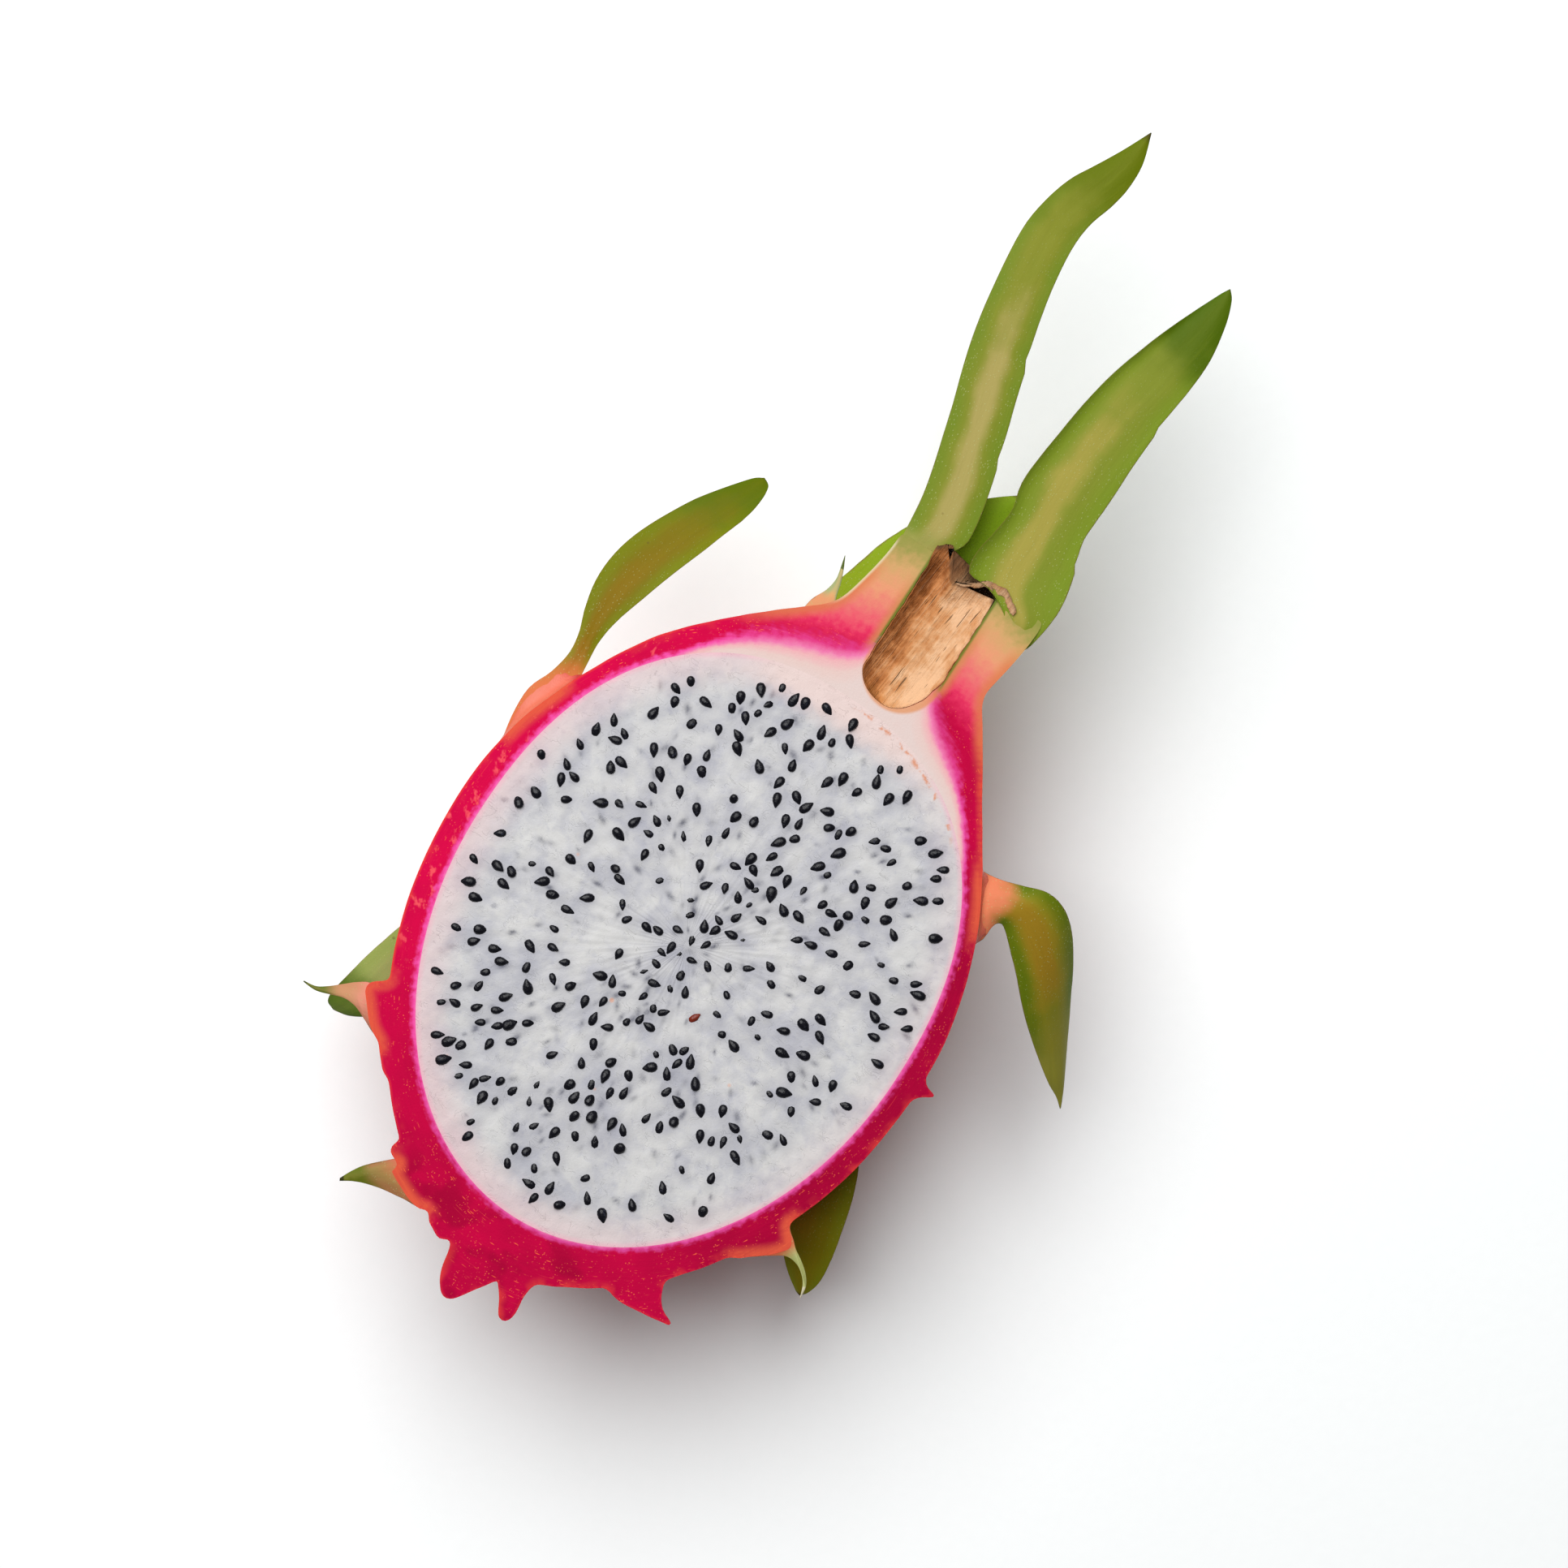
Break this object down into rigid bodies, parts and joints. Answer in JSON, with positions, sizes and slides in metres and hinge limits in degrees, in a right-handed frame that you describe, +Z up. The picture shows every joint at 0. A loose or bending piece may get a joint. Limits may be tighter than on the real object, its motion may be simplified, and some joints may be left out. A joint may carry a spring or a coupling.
{
  "type": "dragon fruit half",
  "caption": "half of a dragon fruit cut lengthwise, white seeded flesh in a thick crimson rind with green leafy bracts, lying on its rounded back with the cut face up",
  "frame": {"origin": "centre of the small flat spot that the half rests on, straight below the middle of the flesh", "axes": "+Z is up, square to the cut face; +Y runs along the fruit from the stem end to the flower end, the long way; +X is across the fruit"},
  "size_m": [0.1091, 0.2102, 0.0441],
  "materials": {
    "rind_skin": "waxy crimson rind, wet and smooth on the cut",
    "flesh_pulp": "moist translucent white pulp with black seeds",
    "dried_flower": "dry brown papery fibre",
    "bract_green": "waxy fleshy green leaf with a tan middle",
    "bract_blush": "waxy orange to pale green leaf base"
  },
  "bodies": {
    "root": {"rind": "rind_skin", "flesh": "flesh_pulp", "flower_remnant": "dried_flower", "crown_bract_left": "bract_green", "crown_bract_right": "bract_green", "crown_bract_rear": "bract_green", "shoulder_bract": "bract_blush", "upper_left_bract": "bract_green", "right_bract": "bract_green", "lower_right_bract": "bract_green", "lower_right_cut_bract": "bract_blush", "left_cut_bract": "bract_blush", "left_rear_bract": "bract_green", "lower_left_bract": "bract_green", "back_bract_1": "bract_green", "back_bract_2": "bract_green", "back_bract_3": "bract_green", "back_bract_4": "bract_green", "back_bract_5": "bract_green", "back_bract_6": "bract_green", "back_bract_7": "bract_green", "back_bract_8": "bract_green"}
  },
  "joints": []
}
